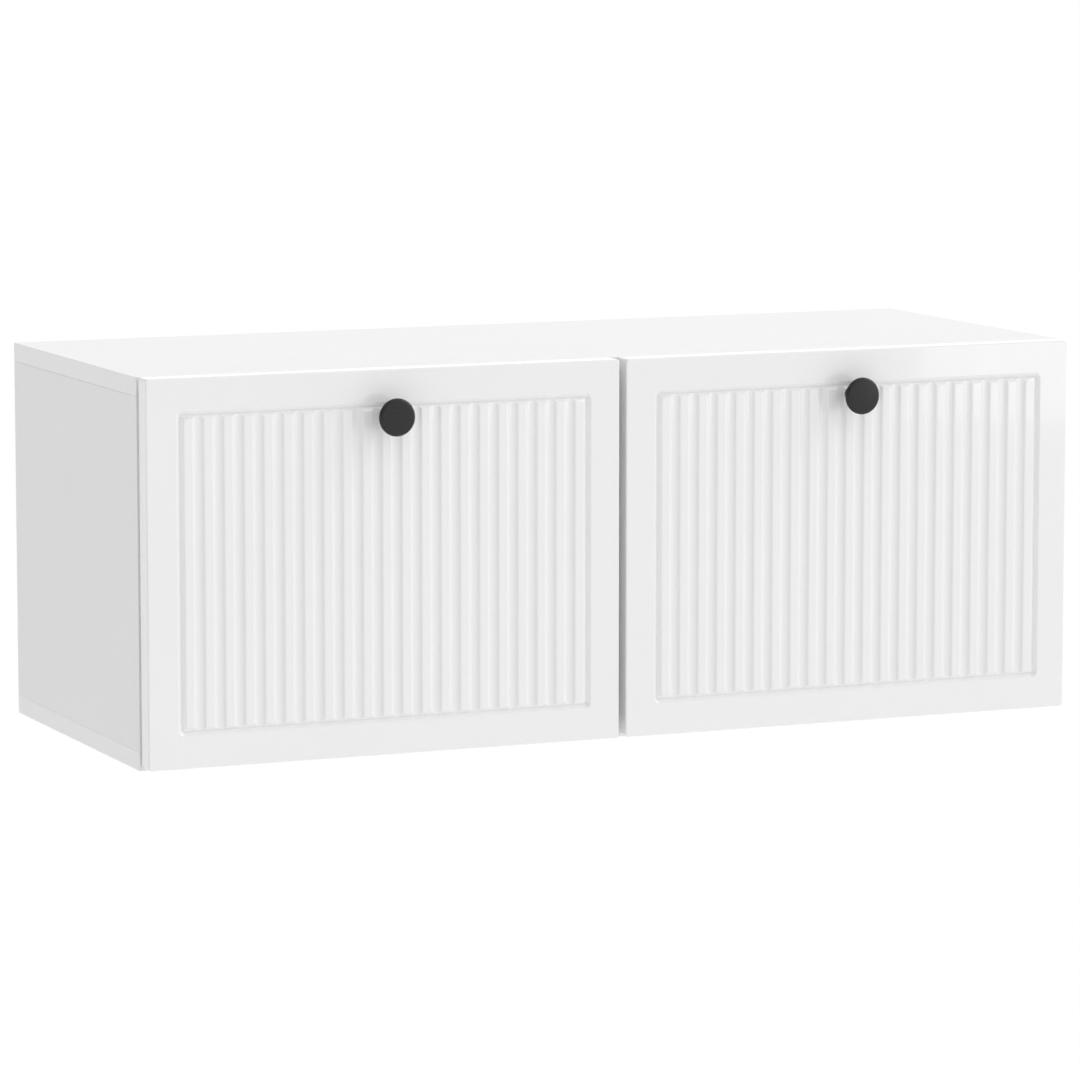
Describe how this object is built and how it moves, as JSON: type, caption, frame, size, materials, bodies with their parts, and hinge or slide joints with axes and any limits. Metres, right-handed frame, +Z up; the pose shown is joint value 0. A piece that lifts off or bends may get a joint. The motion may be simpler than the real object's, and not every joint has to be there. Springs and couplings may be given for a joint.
{
  "type": "hanging wall cabinet",
  "caption": "Wide, low white wall cabinet with fluted drop-down doors, round dark knobs, cup hinges, friction stays, magnetic catches, a centre partition and hooks that hang on wall plates.",
  "frame": {"origin": "on the wall plane, midway along the cabinet, level with the underside of the carcass", "axes": "+X to the right as a person faces the cabinet, +Y into the wall (the doors face -Y), +Z up"},
  "size_m": [0.848, 0.3665, 0.324],
  "materials": {
    "white_board": "satin white melamine over particleboard",
    "gloss_white_foil": "high-gloss white foil over MDF",
    "white_back_board": "white lacquered thin fibreboard",
    "white_edge_band": "satin white edge band",
    "knob_metal": "satin charcoal",
    "plated_steel": "nickel plated, satin",
    "zinc_steel": "bright zinc plated",
    "white_plastic": "moulded white plastic",
    "beech": "plain beech",
    "clear_rubber": "soft, slightly cloudy",
    "magnet_steel": "plain steel pole plates"
  },
  "bodies": {
    "carcass": {"top_panel": "white_board", "bottom_panel": "white_board", "left_side_panel": "white_board", "right_side_panel": "white_board", "centre_partition": "white_board", "back_panel": "white_back_board", "edge_bands": "white_edge_band", "wood_dowels": "beech", "cam_bolts": "zinc_steel", "cam_locks": "zinc_steel", "cam_cover_caps": "white_plastic", "left_wall_plate": "zinc_steel", "right_wall_plate": "zinc_steel", "left_hanger_body": "white_plastic", "right_hanger_body": "white_plastic", "left_hanger_hook": "zinc_steel", "right_hanger_hook": "zinc_steel", "hanger_adjusting_screws": "zinc_steel", "hanger_fixing_screws": "zinc_steel", "hinge_mounting_plates": "plated_steel", "hinge_plate_screws": "zinc_steel", "hinge_arms": "plated_steel", "hinge_adjusting_screws": "zinc_steel", "catch_housings": "white_plastic", "catch_magnets": "magnet_steel", "catch_screws": "zinc_steel", "left_stay_base": "plated_steel", "right_stay_base": "plated_steel", "stay_base_screws": "zinc_steel"},
    "left_door_leaf": {"left_door": "gloss_white_foil", "left_knob": "knob_metal", "left_knob_screw": "zinc_steel", "left_hinge_cups": "plated_steel", "left_hinge_pins": "zinc_steel", "left_hinge_cup_screws": "zinc_steel", "left_stay_bracket": "plated_steel", "left_stay_bracket_screws": "zinc_steel", "left_strike_plate": "zinc_steel", "left_strike_screws": "zinc_steel", "left_door_bumpers": "clear_rubber"},
    "left_stay_arm": {"left_stay_rod": "plated_steel", "left_stay_rod_stop": "plated_steel"},
    "left_stay_swivel": {"left_stay_guide": "plated_steel", "left_stay_brake_screw": "zinc_steel"},
    "right_door_leaf": {"right_door": "gloss_white_foil", "right_knob": "knob_metal", "right_knob_screw": "zinc_steel", "right_hinge_cups": "plated_steel", "right_hinge_pins": "zinc_steel", "right_hinge_cup_screws": "zinc_steel", "right_stay_bracket": "plated_steel", "right_stay_bracket_screws": "zinc_steel", "right_strike_plate": "zinc_steel", "right_strike_screws": "zinc_steel", "right_door_bumpers": "clear_rubber"},
    "right_stay_arm": {"right_stay_rod": "plated_steel", "right_stay_rod_stop": "plated_steel"},
    "right_stay_swivel": {"right_stay_guide": "plated_steel", "right_stay_brake_screw": "zinc_steel"}
  },
  "joints": [
    {"name": "left_door_swing", "type": "hinge", "parent": "carcass", "child": "left_door_leaf", "pos_m": [0, -0.3315, 0.0087], "axis": [1, 0, 0], "range_deg": [0, 90]},
    {"name": "left_stay_rod_pivot", "type": "hinge", "parent": "left_door_leaf", "child": "left_stay_arm", "pos_m": [-0.397, -0.30998, 0.15715], "axis": [1, 0, 0], "range_deg": [-45, 0]},
    {"name": "left_stay_guide_swivel", "type": "hinge", "parent": "carcass", "child": "left_stay_swivel", "pos_m": [-0.397, -0.23864, 0.1265], "axis": [1, 0, 0], "range_deg": [0, 45]},
    {"name": "right_door_swing", "type": "hinge", "parent": "carcass", "child": "right_door_leaf", "pos_m": [0, -0.3315, 0.0087], "axis": [1, 0, 0], "range_deg": [0, 90]},
    {"name": "right_stay_rod_pivot", "type": "hinge", "parent": "right_door_leaf", "child": "right_stay_arm", "pos_m": [0.397, -0.30998, 0.15715], "axis": [1, 0, 0], "range_deg": [-45, 0]},
    {"name": "right_stay_guide_swivel", "type": "hinge", "parent": "carcass", "child": "right_stay_swivel", "pos_m": [0.397, -0.23864, 0.1265], "axis": [1, 0, 0], "range_deg": [0, 45]}
  ],
  "couplings": [
    {"joint": "left_stay_rod_pivot", "follows": "left_door_swing", "ratio": -0.5},
    {"joint": "left_stay_guide_swivel", "follows": "left_door_swing", "ratio": 0.5},
    {"joint": "right_stay_rod_pivot", "follows": "right_door_swing", "ratio": -0.5},
    {"joint": "right_stay_guide_swivel", "follows": "right_door_swing", "ratio": 0.5}
  ]
}
